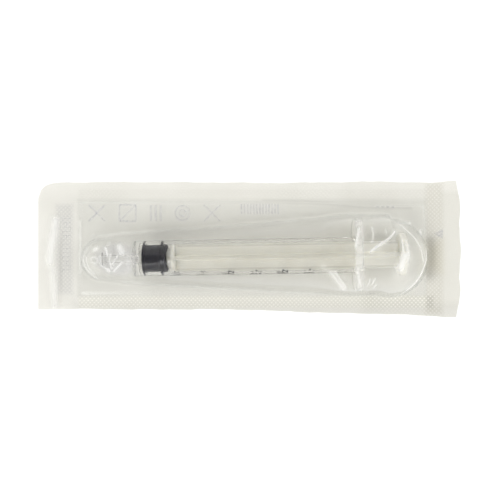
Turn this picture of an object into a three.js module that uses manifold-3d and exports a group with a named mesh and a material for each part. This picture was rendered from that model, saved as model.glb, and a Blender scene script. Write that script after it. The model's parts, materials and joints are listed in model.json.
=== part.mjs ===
// A 3 mL oral syringe sealed in its peel pouch, in millimetres, +Z up.
// The pouch lies on its paper. The origin is the middle of the paper's underside, +X runs along
// the pouch from the syringe's tip to its thumb plate, and +Y runs across it.

import * as THREE from 'three';
import { mergeVertices } from 'three/addons/utils/BufferGeometryUtils.js';
import Module from 'manifold-3d';

const wasm = await Module();
wasm.setup();

// ---- Driving dimensions: syringe ----
// Places along the syringe are measured on its axis from the pouch's middle, tip end negative.

const ROUND_SIDES = 48;
const CORNER_STEPS = 6;
const BORE_RADIUS = 4.475;
const BARREL_WALL = 0.775;
const BARREL_RADIUS = BORE_RADIUS + BARREL_WALL;
const TIP_END = -44;
const TIP_RADIUS = 1.95;
const TIP_ROOT_RADIUS = 2.2;
const TIP_BORE_RADIUS = 1;
const SHOULDER = -34.5;
const SHOULDER_CHAMFER = 0.6;
const BORE_FRONT = -32.6;
const BORE_CONE = 0.5;
const FLANGE_FRONT = 30.9;
const FLANGE_THICK = 2;
const FLANGE_REAR = FLANGE_FRONT + FLANGE_THICK;
const FLANGE_WIDTH = 21.5;
const FLANGE_HEIGHT = 12.4;
const FLANGE_CORNER = 5;
const CUT_PAST = 0.5;

const STOPPER_FRONT = -31.75;
const STOPPER_LENGTH = 6.95;
const STOPPER_REAR = STOPPER_FRONT + STOPPER_LENGTH;
const RUNNING_CLEARANCE = 0.05;
const RIB_RADIUS = BORE_RADIUS - RUNNING_CLEARANCE;
const RIB_WIDTH = 0.95;
const RIB_FLANK = 0.3;
const STOPPER_WAIST_RADIUS = 4.05;
const COLLAR_RADIUS = 4.2;
const COLLAR_WIDTH = 0.6;

const SOCKET_GAP = 0.4;
const NECK_RADIUS = 1.9;
const KNOB_RADIUS = 2.6;
const KNOB_LENGTH = 2.7;
const NECK_LENGTH = 1.6;
const PIECE_GAP = 0.3;

const BOSS_RADIUS = 3;
const BOSS_FRONT = STOPPER_REAR + PIECE_GAP;
const BOSS_LENGTH = 1.2;
const GUIDE_DISC_RADIUS = 4.15;
const GUIDE_DISC_THICK = 1.2;
const BLADE_WIDTH = 7.9;
const BLADE_THICK = 1.1;
const PLATE_FRONT = 44.4;
const PLATE_THICK = 1.6;
const PLATE_RADIUS = FLANGE_HEIGHT / 2;
const PLATE_CHAMFER = 0.3;

// ---- Driving dimensions: pouch ----

const PAPER_THICK = 0.25;
const FILM_THICK = 0.2;
const SEAL_GAP = 0.05;
const FILM_FLAT = PAPER_THICK + SEAL_GAP;
const POUCH_TIP_END = -64.7;
const POUCH_HANDLE_END = 63;
const HANDLE_END_BULGE = 1.2;
const HANDLE_END_RIPPLE = 0.4;
const HANDLE_END_RIPPLES = 3;
const UPPER_EDGE = 20.6;
const UPPER_EDGE_BOW = 0.4;
const LOWER_EDGE = -18.1;
const LOWER_EDGE_DROP = 2.4;
const LOWER_DROP_FROM = -20;
const LOWER_DROP_POWER = 1.4;
const TIP_CORNER_RADIUS = 5;
const EDGE_STEP = 4;

const PEEL_LINE = -54;
const PEEL_GAP = 0.15;
const POCKET_TIP_END = -52;
const POCKET_HANDLE_END = 55;
const POCKET_UPPER_TIP = 15;
const POCKET_UPPER_HANDLE = 13.8;
const POCKET_LOWER = -13.8;
const POCKET_BORDER = 1.2;
const POCKET_LIFT = 0.6;

const SYRINGE_TURN = THREE.MathUtils.degToRad(1);
const SYRINGE_Y = -2;
const AXIS_HEIGHT = PAPER_THICK + PIECE_GAP + FLANGE_HEIGHT / 2;

// The film's tent over the syringe: its ridge height, half-width and squareness along the pouch.
const TENT_TIP_END = -51.2;
const TENT_TIP_CENTRE = -45;
const TENT_HANDLE_FROM = 46.6;
const TENT_HANDLE_CENTRE = 42.2;
const TENT_HANDLE_END = 53.8;
const BEFORE_SHOULDER = SHOULDER - 0.9;
const BEFORE_FLANGE = FLANGE_FRONT - 1.5;
const PAST_FLANGE = FLANGE_REAR + 2;
const RIDGE = [
    [TENT_TIP_CENTRE, 9.6],
    [BEFORE_SHOULDER, 12.4],
    [BEFORE_FLANGE, 13.35],
];
const HALF_WIDTH = [
    [TENT_TIP_CENTRE, 6.6],
    [-35, 7.4],
    [-28, 8.3],
    [11, 10.7],
    [BEFORE_FLANGE, 12.1],
];
const SQUARENESS = [
    [-36, 2.3],
    [20, 2.4],
    [BEFORE_FLANGE, 5],
    [PAST_FLANGE, 5],
    [TENT_HANDLE_CENTRE, 3],
];
const END_SQUARENESS = 2.3;
const LEAST_HALF_WIDTH = 2.5;
const TENT_ROWS = [0, 0.22, 0.45, 0.64, 0.78, 0.88, 0.94, 0.98, 1];
const TIP_END_STEPS = [0, 0.07, 0.2, 0.36, 0.6, 1];
const HANDLE_END_STEPS = [0, 0.14, 0.28, 0.42, 0.56, 0.7, 0.82, 0.91, 0.97, 1];
const SYRINGE_STATIONS = [
    -41.5, -38.5, BEFORE_SHOULDER, -30, -22, -12, 0, 10, 20,
    BEFORE_FLANGE, FLANGE_FRONT + FLANGE_THICK / 2, PAST_FLANGE, 38.5,
];
const TIP_CORNER_STEPS = [0, 0.05, 0.2, 0.45];

// ---- Helpers ----

const { clamp, lerp, smoothstep } = THREE.MathUtils;

function alongTable(table, at) {
    // Straight-line reading of [place, value] pairs, held at both ends.
    const after = table.findIndex(([place]) => place >= at);
    if (after === 0) return table[0][1];
    if (after < 0) return table[table.length - 1][1];
    const [low, lowValue] = table[after - 1];
    const [high, highValue] = table[after];
    return lerp(lowValue, highValue, (at - low) / (high - low));
}

function superellipse(share, squareness) {
    return (1 - clamp(Math.abs(share), 0, 1) ** squareness) ** (1 / squareness);
}

function toSolid(geometry) {
    const plain = geometry.index ? geometry.toNonIndexed() : geometry.clone();
    plain.deleteAttribute('normal');
    plain.deleteAttribute('uv');
    const merged = mergeVertices(plain);
    const corners = merged.index.array;
    const kept = [];
    for (let i = 0; i < corners.length; i += 3) {
        const [a, b, c] = [corners[i], corners[i + 1], corners[i + 2]];
        if (a !== b && b !== c && c !== a) kept.push(a, b, c);
    }
    return new wasm.Manifold(new wasm.Mesh({
        numProp: 3,
        vertProperties: new Float32Array(merged.attributes.position.array),
        triVerts: new Uint32Array(kept),
    }));
}

function toGeometry(solid) {
    const mesh = solid.getMesh();
    const geometry = new THREE.BufferGeometry();
    geometry.setAttribute('position', new THREE.BufferAttribute(mesh.vertProperties, 3));
    geometry.setIndex(new THREE.BufferAttribute(mesh.triVerts, 1));
    geometry.computeVertexNormals();
    return geometry;
}

function turned(profile) {
    // A solid of revolution about X, from [place, radius] pairs that start and end on the axis.
    const points = profile.map(([place, radius]) => new THREE.Vector2(radius, place));
    return toSolid(new THREE.LatheGeometry(points, ROUND_SIDES).rotateZ(-Math.PI / 2));
}

function extrudedAlongX(shape, from, length) {
    // The shape's x becomes Y and its y becomes Z.
    const geometry = new THREE.ExtrudeGeometry(shape, {
        depth: length,
        bevelEnabled: false,
        curveSegments: CORNER_STEPS,
    });
    geometry.applyMatrix4(new THREE.Matrix4().set(
        0, 0, 1, from,
        1, 0, 0, 0,
        0, 1, 0, 0,
        0, 0, 0, 1,
    ));
    return toSolid(geometry);
}

function sheetGeometry(columns, rows, lower, upper) {
    // A closed skin between two height functions over a grid of points(column, row).
    const positions = [];
    const faces = [];
    const index = (column, row, top) => (column * rows + row) * 2 + top;
    columns.forEach((points) => points.forEach(([x, y]) => {
        positions.push(x, y, lower(x, y), x, y, upper(x, y));
    }));
    const quad = (a, b, c, d) => faces.push(a, b, c, a, c, d);
    for (let i = 0; i + 1 < columns.length; i += 1) {
        for (let j = 0; j + 1 < rows; j += 1) {
            quad(index(i, j, 1), index(i + 1, j, 1), index(i + 1, j + 1, 1), index(i, j + 1, 1));
            quad(index(i, j, 0), index(i, j + 1, 0), index(i + 1, j + 1, 0), index(i + 1, j, 0));
        }
        quad(index(i, 0, 0), index(i + 1, 0, 0), index(i + 1, 0, 1), index(i, 0, 1));
        const j = rows - 1;
        quad(index(i + 1, j, 0), index(i, j, 0), index(i, j, 1), index(i + 1, j, 1));
    }
    const last = columns.length - 1;
    for (let j = 0; j + 1 < rows; j += 1) {
        quad(index(0, j + 1, 0), index(0, j, 0), index(0, j, 1), index(0, j + 1, 1));
        quad(index(last, j, 0), index(last, j + 1, 0), index(last, j + 1, 1), index(last, j, 1));
    }
    const geometry = new THREE.BufferGeometry();
    geometry.setAttribute('position', new THREE.Float32BufferAttribute(positions, 3));
    geometry.setIndex(faces);
    geometry.computeVertexNormals();
    return geometry;
}

// ---- Syringe ----

function barrelGeometry() {
    const outside = turned([
        [TIP_END, 0],
        [TIP_END, TIP_RADIUS],
        [SHOULDER, TIP_ROOT_RADIUS],
        [SHOULDER, BARREL_RADIUS - SHOULDER_CHAMFER],
        [SHOULDER + SHOULDER_CHAMFER, BARREL_RADIUS],
        [FLANGE_REAR, BARREL_RADIUS],
        [FLANGE_REAR, 0],
    ]);
    const bore = turned([
        [TIP_END - CUT_PAST, 0],
        [TIP_END - CUT_PAST, TIP_BORE_RADIUS],
        [BORE_FRONT - BORE_CONE, TIP_BORE_RADIUS],
        [BORE_FRONT, BORE_RADIUS],
        [FLANGE_REAR + CUT_PAST, BORE_RADIUS],
        [FLANGE_REAR + CUT_PAST, 0],
    ]);
    const flange = extrudedAlongX(flangeShape(), FLANGE_FRONT, FLANGE_THICK);
    return toGeometry(outside.add(flange).subtract(bore));
}

function flangeShape() {
    const halfWidth = FLANGE_WIDTH / 2;
    const halfHeight = FLANGE_HEIGHT / 2;
    const sideFlat = halfWidth - FLANGE_CORNER;
    const endFlat = halfHeight - FLANGE_CORNER;
    const shape = new THREE.Shape();
    shape.moveTo(-sideFlat, -halfHeight);
    shape.absarc(sideFlat, -endFlat, FLANGE_CORNER, -Math.PI / 2, 0);
    shape.absarc(sideFlat, endFlat, FLANGE_CORNER, 0, Math.PI / 2);
    shape.absarc(-sideFlat, endFlat, FLANGE_CORNER, Math.PI / 2, Math.PI);
    shape.absarc(-sideFlat, -endFlat, FLANGE_CORNER, Math.PI, Math.PI * 1.5);
    return shape;
}

function stopperGeometry() {
    // Two sealing ribs, a waist and a rear collar outside; a socket for the rod's knob inside.
    const rearRib = STOPPER_REAR - COLLAR_WIDTH - RIB_WIDTH;
    const mouth = NECK_RADIUS + SOCKET_GAP;
    const room = KNOB_RADIUS + SOCKET_GAP;
    const knobRear = BOSS_FRONT - NECK_LENGTH;
    const knobFront = knobRear - KNOB_LENGTH;
    return toGeometry(turned([
        [STOPPER_FRONT, 0],
        [STOPPER_FRONT, RIB_RADIUS - RIB_FLANK],
        [STOPPER_FRONT + RIB_FLANK, RIB_RADIUS],
        [STOPPER_FRONT + RIB_WIDTH, RIB_RADIUS],
        [STOPPER_FRONT + RIB_WIDTH + RIB_FLANK, STOPPER_WAIST_RADIUS],
        [rearRib - RIB_FLANK, STOPPER_WAIST_RADIUS],
        [rearRib, RIB_RADIUS],
        [rearRib + RIB_WIDTH, RIB_RADIUS],
        [rearRib + RIB_WIDTH + RIB_FLANK / 2, COLLAR_RADIUS],
        [STOPPER_REAR, COLLAR_RADIUS],
        [STOPPER_REAR, mouth],
        [knobRear - RIB_FLANK + SOCKET_GAP, mouth],
        [knobRear - RIB_FLANK, room],
        [knobFront - SOCKET_GAP, room],
        [knobFront - SOCKET_GAP, 0],
    ]));
}

function plungerRodGeometry() {
    const knobRear = BOSS_FRONT - NECK_LENGTH;
    const knobFront = knobRear - KNOB_LENGTH;
    const knobBevel = KNOB_RADIUS - NECK_RADIUS;
    const discFront = BOSS_FRONT + BOSS_LENGTH;
    const discRear = discFront + GUIDE_DISC_THICK;
    const head = turned([
        [knobFront, 0],
        [knobFront, KNOB_RADIUS - knobBevel],
        [knobFront + knobBevel, KNOB_RADIUS],
        [knobRear - knobBevel, KNOB_RADIUS],
        [knobRear, NECK_RADIUS],
        [BOSS_FRONT, NECK_RADIUS],
        [BOSS_FRONT, BOSS_RADIUS],
        [discFront, BOSS_RADIUS],
        [discFront, GUIDE_DISC_RADIUS],
        [discRear, GUIDE_DISC_RADIUS],
        [discRear, 0],
    ]);
    const plate = turned([
        [PLATE_FRONT, 0],
        [PLATE_FRONT, PLATE_RADIUS - PLATE_CHAMFER],
        [PLATE_FRONT + PLATE_CHAMFER, PLATE_RADIUS],
        [PLATE_FRONT + PLATE_THICK - PLATE_CHAMFER, PLATE_RADIUS],
        [PLATE_FRONT + PLATE_THICK, PLATE_RADIUS - PLATE_CHAMFER],
        [PLATE_FRONT + PLATE_THICK, 0],
    ]);
    const bladesFrom = discRear - GUIDE_DISC_THICK / 2;
    const bladesLength = PLATE_FRONT + PLATE_THICK / 2 - bladesFrom;
    const blades = extrudedAlongX(crossShape(), bladesFrom, bladesLength);
    return toGeometry(head.add(blades).add(plate));
}

function crossShape() {
    const reach = BLADE_WIDTH / 2;
    const half = BLADE_THICK / 2;
    const centre = new THREE.Vector2();
    const quarter = [[reach, -half], [reach, half], [half, half]];
    const corners = [0, 1, 2, 3].flatMap((turn) => quarter.map(([y, z]) => (
        new THREE.Vector2(y, z).rotateAround(centre, turn * Math.PI / 2)
    )));
    return new THREE.Shape(corners);
}

// ---- Pouch ----

function upperEdge(x) {
    // Slightly bowed, and rounded off at the tip end.
    const bow = UPPER_EDGE_BOW * Math.cos((x / POUCH_HANDLE_END) * Math.PI * 2);
    const past = clamp((POUCH_TIP_END + TIP_CORNER_RADIUS - x) / TIP_CORNER_RADIUS, 0, 1);
    return UPPER_EDGE - bow / 2 - TIP_CORNER_RADIUS * (1 - Math.sqrt(1 - past * past));
}

function lowerEdge(x) {
    const share = clamp((x - LOWER_DROP_FROM) / (POUCH_HANDLE_END - LOWER_DROP_FROM), 0, 1);
    return LOWER_EDGE - LOWER_EDGE_DROP * share ** LOWER_DROP_POWER;
}

function handleEdge(y) {
    // The cut end bulges a little and carries a shallow ripple.
    const across = clamp(y / UPPER_EDGE, -1, 1);
    const ripple = Math.cos(across * Math.PI * HANDLE_END_RIPPLES) * (1 - across ** 2);
    return POUCH_HANDLE_END + HANDLE_END_BULGE * (1 - across ** 4) + HANDLE_END_RIPPLE * ripple;
}

function columnPoints(x, innerRows) {
    const rows = [lowerEdge(x), ...innerRows, upperEdge(x)];
    return rows.map((y) => [x, y]);
}

function evenStations(from, to) {
    const count = Math.ceil((to - from) / EDGE_STEP);
    return Array.from({ length: count + 1 }, (_, i) => lerp(from, to, i / count));
}

function edgeRows(x) {
    // Evenly spread rows between the two long edges.
    const count = Math.ceil((UPPER_EDGE - LOWER_EDGE) / EDGE_STEP);
    return Array.from({ length: count - 1 }, (_, i) => lerp(lowerEdge(x), upperEdge(x), (i + 1) / count));
}

function tipCornerStations() {
    // Finer stations round the tip-end corner.
    return TIP_CORNER_STEPS.map((share) => POUCH_TIP_END + TIP_CORNER_RADIUS * share);
}

function paperGeometry() {
    const inner = evenStations(POUCH_TIP_END + TIP_CORNER_RADIUS, POUCH_HANDLE_END - EDGE_STEP);
    const columns = [...tipCornerStations(), ...inner].map((x) => columnPoints(x, edgeRows(x)));
    columns.push(handleEndColumn(edgeRows(POUCH_HANDLE_END)));
    return sheetGeometry(columns, columns[0].length, () => 0, () => PAPER_THICK);
}

function handleEndColumn(innerRows) {
    return columnPoints(POUCH_HANDLE_END, innerRows).map(([, y]) => [handleEdge(y), y]);
}

function endSealGeometry() {
    // The strip of film that stays bonded at the tip end when the rest is peeled back.
    const last = PEEL_LINE - PEEL_GAP;
    const stations = [...tipCornerStations(), POUCH_TIP_END + TIP_CORNER_RADIUS, last];
    const columns = stations.map((x) => columnPoints(x, edgeRows(x)));
    return sheetGeometry(columns, columns[0].length, () => FILM_FLAT, () => FILM_FLAT + FILM_THICK);
}

function axisY(x) {
    return SYRINGE_Y + x * Math.tan(SYRINGE_TURN);
}

function ridgeHeight(x) {
    const height = alongTable(RIDGE, x);
    const tipShare = (TENT_TIP_CENTRE - x) / (TENT_TIP_CENTRE - TENT_TIP_END);
    const handleShare = (x - TENT_HANDLE_FROM) / (TENT_HANDLE_END - TENT_HANDLE_FROM);
    return height * superellipse(clamp(Math.max(tipShare, handleShare), 0, 1), END_SQUARENESS);
}

function tentHalfWidth(x) {
    const tipShare = clamp((TENT_TIP_CENTRE - x) / (TENT_TIP_CENTRE - TENT_TIP_END), 0, 1);
    const endRadius = TENT_HANDLE_END - TENT_HANDLE_CENTRE;
    const handleShare = clamp((x - TENT_HANDLE_CENTRE) / endRadius, 0, 1);
    const plain = alongTable(HALF_WIDTH, x);
    const round = superellipse(Math.max(tipShare, handleShare), 2);
    return Math.max(plain * round, LEAST_HALF_WIDTH);
}

function tentHeight(x, y) {
    const share = (y - axisY(x)) / tentHalfWidth(x);
    return ridgeHeight(x) * superellipse(share, alongTable(SQUARENESS, x));
}

function pocketUpper(x) {
    const share = (x - POCKET_TIP_END) / (POCKET_HANDLE_END - POCKET_TIP_END);
    return lerp(POCKET_UPPER_TIP, POCKET_UPPER_HANDLE, share);
}

function pocketLift(x, y) {
    // How far the formed pocket's loose film stands off the paper beside the syringe.
    const inside = Math.min(
        x - POCKET_TIP_END,
        POCKET_HANDLE_END - x,
        pocketUpper(x) - y,
        y - POCKET_LOWER,
    );
    return POCKET_LIFT * smoothstep(inside, 0, POCKET_BORDER);
}

function filmHeight(x, y) {
    return Math.max(FILM_FLAT + pocketLift(x, y), tentHeight(x, y));
}

function filmRows(x) {
    const across = [...TENT_ROWS.slice(1).reverse().map((share) => -share), ...TENT_ROWS];
    const tent = across.map((share) => axisY(x) + share * tentHalfWidth(x));
    const lowest = tent[0];
    const highest = tent[tent.length - 1];
    const below = Math.min(POCKET_LOWER + POCKET_BORDER, lerp(POCKET_LOWER, lowest, 0.5));
    const above = Math.max(pocketUpper(x) - POCKET_BORDER, lerp(pocketUpper(x), highest, 0.5));
    return [POCKET_LOWER, below, ...tent, above, pocketUpper(x)];
}

function filmStations() {
    const tipEnd = TIP_END_STEPS.map((share) => lerp(TENT_TIP_END, TENT_TIP_CENTRE, share));
    const handleEnd = HANDLE_END_STEPS.map((share) => lerp(TENT_HANDLE_FROM, TENT_HANDLE_END, share));
    return [
        PEEL_LINE + PEEL_GAP,
        POCKET_TIP_END,
        ...tipEnd,
        ...SYRINGE_STATIONS,
        TENT_HANDLE_CENTRE,
        ...handleEnd,
        POCKET_HANDLE_END,
        POCKET_HANDLE_END + EDGE_STEP,
    ];
}

function filmGeometry() {
    const columns = filmStations().map((x) => columnPoints(x, filmRows(x)));
    columns.push(handleEndColumn(filmRows(POUCH_HANDLE_END)));
    const top = (x, y) => filmHeight(x, y) + FILM_THICK;
    return sheetGeometry(columns, columns[0].length, filmHeight, top);
}

// ---- Assembly ----

function piece(name, geometry, look) {
    const mesh = new THREE.Mesh(geometry, new THREE.MeshStandardMaterial(look));
    mesh.name = name;
    return mesh;
}

const CLEAR_FILM = { color: 0xf1f0ea, roughness: 0.15, metalness: 0, transparent: true, opacity: 0.3 };
const CLEAR_MOULDING = { color: 0xe8e8e2, roughness: 0.2, metalness: 0, transparent: true, opacity: 0.5 };
const PALE_MOULDING = { color: 0xe6e5dc, roughness: 0.35, metalness: 0 };
const BLACK_RUBBER = { color: 0x232226, roughness: 0.45, metalness: 0 };
const PAPER = { color: 0xe9e6dd, roughness: 0.85, metalness: 0 };

const syringe = new THREE.Group();
syringe.position.set(0, SYRINGE_Y, AXIS_HEIGHT);
syringe.rotation.z = SYRINGE_TURN;
syringe.add(
    piece('barrel', barrelGeometry(), CLEAR_MOULDING),
    piece('stopper', stopperGeometry(), BLACK_RUBBER),
    piece('plunger_rod', plungerRodGeometry(), PALE_MOULDING),
);

const pouch = new THREE.Group();
pouch.add(
    piece('paper_web', paperGeometry(), PAPER),
    piece('film_end_seal', endSealGeometry(), CLEAR_FILM),
    piece('film_web', filmGeometry(), CLEAR_FILM),
    syringe,
);

export default pouch;
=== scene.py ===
import json
import math

import bmesh
import bpy
import numpy as np
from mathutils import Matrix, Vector


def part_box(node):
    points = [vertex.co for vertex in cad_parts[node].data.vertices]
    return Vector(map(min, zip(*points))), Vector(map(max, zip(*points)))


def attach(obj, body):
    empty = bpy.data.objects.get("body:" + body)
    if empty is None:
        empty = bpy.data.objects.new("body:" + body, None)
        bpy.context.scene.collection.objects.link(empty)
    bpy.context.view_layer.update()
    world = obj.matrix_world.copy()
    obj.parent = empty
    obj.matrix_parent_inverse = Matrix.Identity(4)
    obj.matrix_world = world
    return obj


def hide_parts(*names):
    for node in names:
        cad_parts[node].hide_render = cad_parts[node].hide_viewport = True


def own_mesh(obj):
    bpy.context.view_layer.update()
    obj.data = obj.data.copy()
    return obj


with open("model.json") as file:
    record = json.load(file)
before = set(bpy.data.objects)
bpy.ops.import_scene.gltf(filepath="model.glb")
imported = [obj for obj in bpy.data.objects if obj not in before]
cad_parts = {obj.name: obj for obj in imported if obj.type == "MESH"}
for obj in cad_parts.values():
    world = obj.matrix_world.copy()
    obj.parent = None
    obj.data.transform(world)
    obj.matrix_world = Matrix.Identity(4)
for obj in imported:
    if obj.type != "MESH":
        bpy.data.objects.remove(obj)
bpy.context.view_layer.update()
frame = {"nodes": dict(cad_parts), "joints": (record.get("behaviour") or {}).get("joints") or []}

# A small oral syringe lying in its sealed peel pouch: paper below, formed clear film above.
# Shapes are worked out in millimetres and go into Blender in metres.

MM = 0.001

# ---- Camera, floor and light ----

CAMERA_HEIGHT = 240.0
LENS = 56.5
FLOOR_HALF = 900.0
# How bright the surroundings are, from the horizon (0) to straight up (1).
WORLD_STRENGTH = ((0.0, 1.56), (0.85, 1.12), (0.93, 0.30), (1.0, 0.24))
SKY = (1, 0.995, 0.985, 1)
LIGHTS = (
    ("key", (-0.30, -0.46, 0.55), (0, 0, 0), 0.34, 1.5),
    ("fill", (0.50, 0.12, 0.6), (0, 0, 0), 0.15, 0.5),
)


def linked(name, data):
    """A new object in the scene."""
    made = bpy.data.objects.new(name, data)
    bpy.context.scene.collection.objects.link(made)
    return made


def camera():
    data = bpy.data.cameras.new("camera")
    data.lens = LENS
    data.clip_start = 0.01
    place = linked("camera", data)
    place.location = (0, 0, CAMERA_HEIGHT * MM)
    bpy.context.scene.camera = place


def area_light(name, place, aim, size, power):
    data = bpy.data.lights.new(name, "AREA")
    data.shape = "DISK"
    data.size = size
    data.energy = power
    light = linked(name, data)
    light.location = place
    light.rotation_euler = (Vector(aim) - Vector(place)).to_track_quat("-Z", "Y").to_euler()


def studio():
    scene = bpy.context.scene
    scene.view_settings.view_transform = "Standard"
    scene.cycles.transparent_max_bounces = 24
    scene.cycles.max_bounces = 16
    scene.cycles.transmission_bounces = 12
    scene.cycles.use_denoising = True
    world = bpy.data.worlds.new("studio")
    scene.world = world
    world.use_nodes = True
    tree = world.node_tree
    strength = node(tree, "FloatCurve", Value=place_in(tree, "Generated")["Z"])
    curve = strength.mapping.curves[0]
    strength.mapping.extend = "HORIZONTAL"
    highest = max(level for _, level in WORLD_STRENGTH)
    curve.points[0].location = (0, WORLD_STRENGTH[0][1] / highest)
    curve.points[1].location = (1, WORLD_STRENGTH[-1][1] / highest)
    for height, level in WORLD_STRENGTH[1:-1]:
        curve.points.new(height, level / highest)
    for point in curve.points:
        point.handle_type = "VECTOR"
    strength.mapping.update()
    scaled = math_node(tree, "MULTIPLY", strength.outputs["Value"], highest)
    feed(tree, tree.nodes["Background"].inputs["Strength"], scaled)
    feed(tree, tree.nodes["Background"].inputs["Color"], SKY)
    for light in LIGHTS:
        area_light(*light)


# ---- Meshes ----


def new_object(name, points_mm, faces, material, sharp_over=40):
    mesh = bpy.data.meshes.new(name)
    mesh.from_pydata([tuple(p) for p in np.asarray(points_mm, float) * MM], [], faces)
    mesh.validate()
    shape = bmesh.new()
    shape.from_mesh(mesh)
    bmesh.ops.recalc_face_normals(shape, faces=shape.faces)
    shape.to_mesh(mesh)
    shape.free()
    mesh.shade_smooth()
    mesh.set_sharp_from_angle(angle=math.radians(sharp_over))
    mesh.materials.append(material)
    return linked(name, mesh)


def evaluated_mesh(thing):
    """The mesh that an object comes to, with its modifiers or its curve worked out."""
    graph = bpy.context.evaluated_depsgraph_get()
    return bpy.data.meshes.new_from_object(thing.evaluated_get(graph))


def grid_faces(columns, rows):
    """Quads of a grid whose points run column by column."""
    i, j = np.meshgrid(np.arange(columns - 1), np.arange(rows - 1), indexing="ij")
    first = (i * rows + j).ravel()
    return np.stack([first, first + rows, first + rows + 1, first + 1], axis=1)


def skin_object(name, x, y, low, high, material, marks=()):
    """A closed thin sheet over grids of x and y, between the heights low and high.

    marks are (name, value at each grid point) pairs, kept on the points for the material to read.
    """
    columns, rows = x.shape
    top = np.stack([x, y, high], axis=-1).reshape(-1, 3)
    under = np.stack([x, y, low], axis=-1).reshape(-1, 3)
    points = np.concatenate([top, under])
    upper = grid_faces(columns, rows)
    lower = upper[:, ::-1] + len(top)
    index = np.arange(columns * rows).reshape(columns, rows)
    rim = np.concatenate([index[:, 0], index[-1, 1:], index[-2::-1, -1], index[0, -2:0:-1]])
    after = np.roll(rim, -1)
    sides = np.stack([rim, rim + len(top), after + len(top), after], axis=1)
    faces = np.concatenate([upper, lower, sides]).tolist()
    made = new_object(name, points, faces, material, sharp_over=80)
    for mark, value in marks:
        kept = made.data.attributes.new(mark, "FLOAT", "POINT")
        kept.data.foreach_set("value", np.tile(value.ravel(), 2).astype(np.float32))
    return made


def lofted(rings, closed=False):
    """Points and faces of a skin through rings of points, with flat ends unless it is closed."""
    sides, last = len(rings[0]), len(rings) - 1
    faces = []
    for k in range(len(rings) if closed else last):
        a, b = k * sides, (k + 1) % len(rings) * sides
        for i in range(sides):
            j = (i + 1) % sides
            faces.append((a + i, b + i, b + j, a + j))
    if not closed:
        faces.append(tuple(range(sides)))
        faces.append(tuple(last * sides + i for i in reversed(range(sides))))
    return np.concatenate(rings), faces


def turned(profile, sides, closed=False, radius_at=None):
    """A shape turned about X from (place, radius[, share]) rows.

    radius_at(angles) is an outer outline that a row's share moves its radius towards.
    """
    angles = np.arange(sides) * (2 * math.pi / sides)
    rings = []
    for place, radius, *share in profile:
        reach = np.full(sides, float(radius))
        if share:
            reach += share[0] * (radius_at(angles) - reach)
        ring = (np.full(sides, place), reach * np.sin(angles), reach * np.cos(angles))
        rings.append(np.stack(ring, axis=1))
    return lofted(rings, closed)


def prism(outline, start, end):
    """A closed bar with that outline, between two places along the axis."""
    return lofted([[(place, y, z) for y, z in outline] for place in (start, end)])


def bar_section(start, end, thick):
    """The four corners of a flat bar's section."""
    return ((start, 0), (start, thick), (end, thick), (end, 0))


def arc(centre, radius, start, end, steps):
    """(place, radius) rows on an arc, with angles in degrees."""
    angles = np.radians(np.linspace(start, end, steps + 1))
    return [(centre[0] + radius * math.cos(a), centre[1] + radius * math.sin(a)) for a in angles]


def rounded_rim(front, rear, radius, edge, steps):
    """(place, radius) rows of a rim between two places, with both edges rounded."""
    out = radius - edge
    return arc((front + edge, out), edge, 180, 90, steps) + arc((rear - edge, out), edge, 90, 0, steps)


# ---- The frame's own sizes ----


def node_points(node):
    mesh = frame["nodes"][node].data
    points = np.zeros(len(mesh.vertices) * 3)
    mesh.vertices.foreach_get("co", points)
    return points.reshape(-1, 3) / MM


turn_joint = next(j for j in frame["joints"] if j["name"] == "plunger_turn")
AXIS_POINT = np.array(turn_joint["pos_m"]) / MM
ALONG = np.array(turn_joint["axis"]) / np.linalg.norm(turn_joint["axis"])
UP = np.array([0.0, 0.0, 1.0])
ACROSS = np.cross(UP, ALONG)


def in_syringe(points):
    """Places along, across and above the syringe's axis."""
    away = points - AXIS_POINT
    return np.stack([away @ ALONG, away @ ACROSS, away @ UP], axis=-1)


def from_syringe(points):
    points = np.asarray(points, float)
    return AXIS_POINT + points[:, :1] * ALONG + points[:, 1:2] * ACROSS + points[:, 2:] * UP


def radii(points):
    return np.hypot(points[:, 1], points[:, 2])


barrel_points = in_syringe(node_points("barrel"))
TIP_END = barrel_points[:, 0].min()
FLANGE_REAR = barrel_points[:, 0].max()
FLANGE_HALF_WIDTH = np.abs(barrel_points[:, 1]).max()
FLANGE_HALF_HEIGHT = barrel_points[:, 2].max()
FLANGE_FRONT = barrel_points[radii(barrel_points) > 0.9 * FLANGE_HALF_WIDTH][:, 0].min()
tube_points = barrel_points[barrel_points[:, 0] < FLANGE_FRONT - 1]
BARREL_RADIUS = radii(tube_points).max()
SHOULDER = tube_points[radii(tube_points) > 0.8 * BARREL_RADIUS][:, 0].min()
TIP_RADIUS = radii(barrel_points[barrel_points[:, 0] < TIP_END + 0.1]).max()
TIP_BORE = radii(barrel_points[barrel_points[:, 0] < TIP_END + 0.1]).min()
BORE_RADIUS = radii(barrel_points[barrel_points[:, 0] > FLANGE_REAR - 0.1]).min()
FRONT_WALL = 1.9
BORE_FRONT = SHOULDER + FRONT_WALL

stopper_points = in_syringe(node_points("stopper"))
STOPPER_FRONT = stopper_points[:, 0].min()
STOPPER_REAR = stopper_points[:, 0].max()

rod_points = in_syringe(node_points("plunger_rod"))
ROD_FRONT = rod_points[:, 0].min()
PLATE_REAR = rod_points[:, 0].max()
PLATE_RADIUS = radii(rod_points).max()
PUSH_IN = 1.2
PLATE_FRONT = rod_points[radii(rod_points) > 0.9 * PLATE_RADIUS][:, 0].min() - 0.3
is_blade = (rod_points[:, 0] > STOPPER_REAR + 5) & (radii(rod_points) < 0.7 * PLATE_RADIUS)
BLADE_HALF = np.abs(rod_points[is_blade][:, 1]).max()

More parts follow.
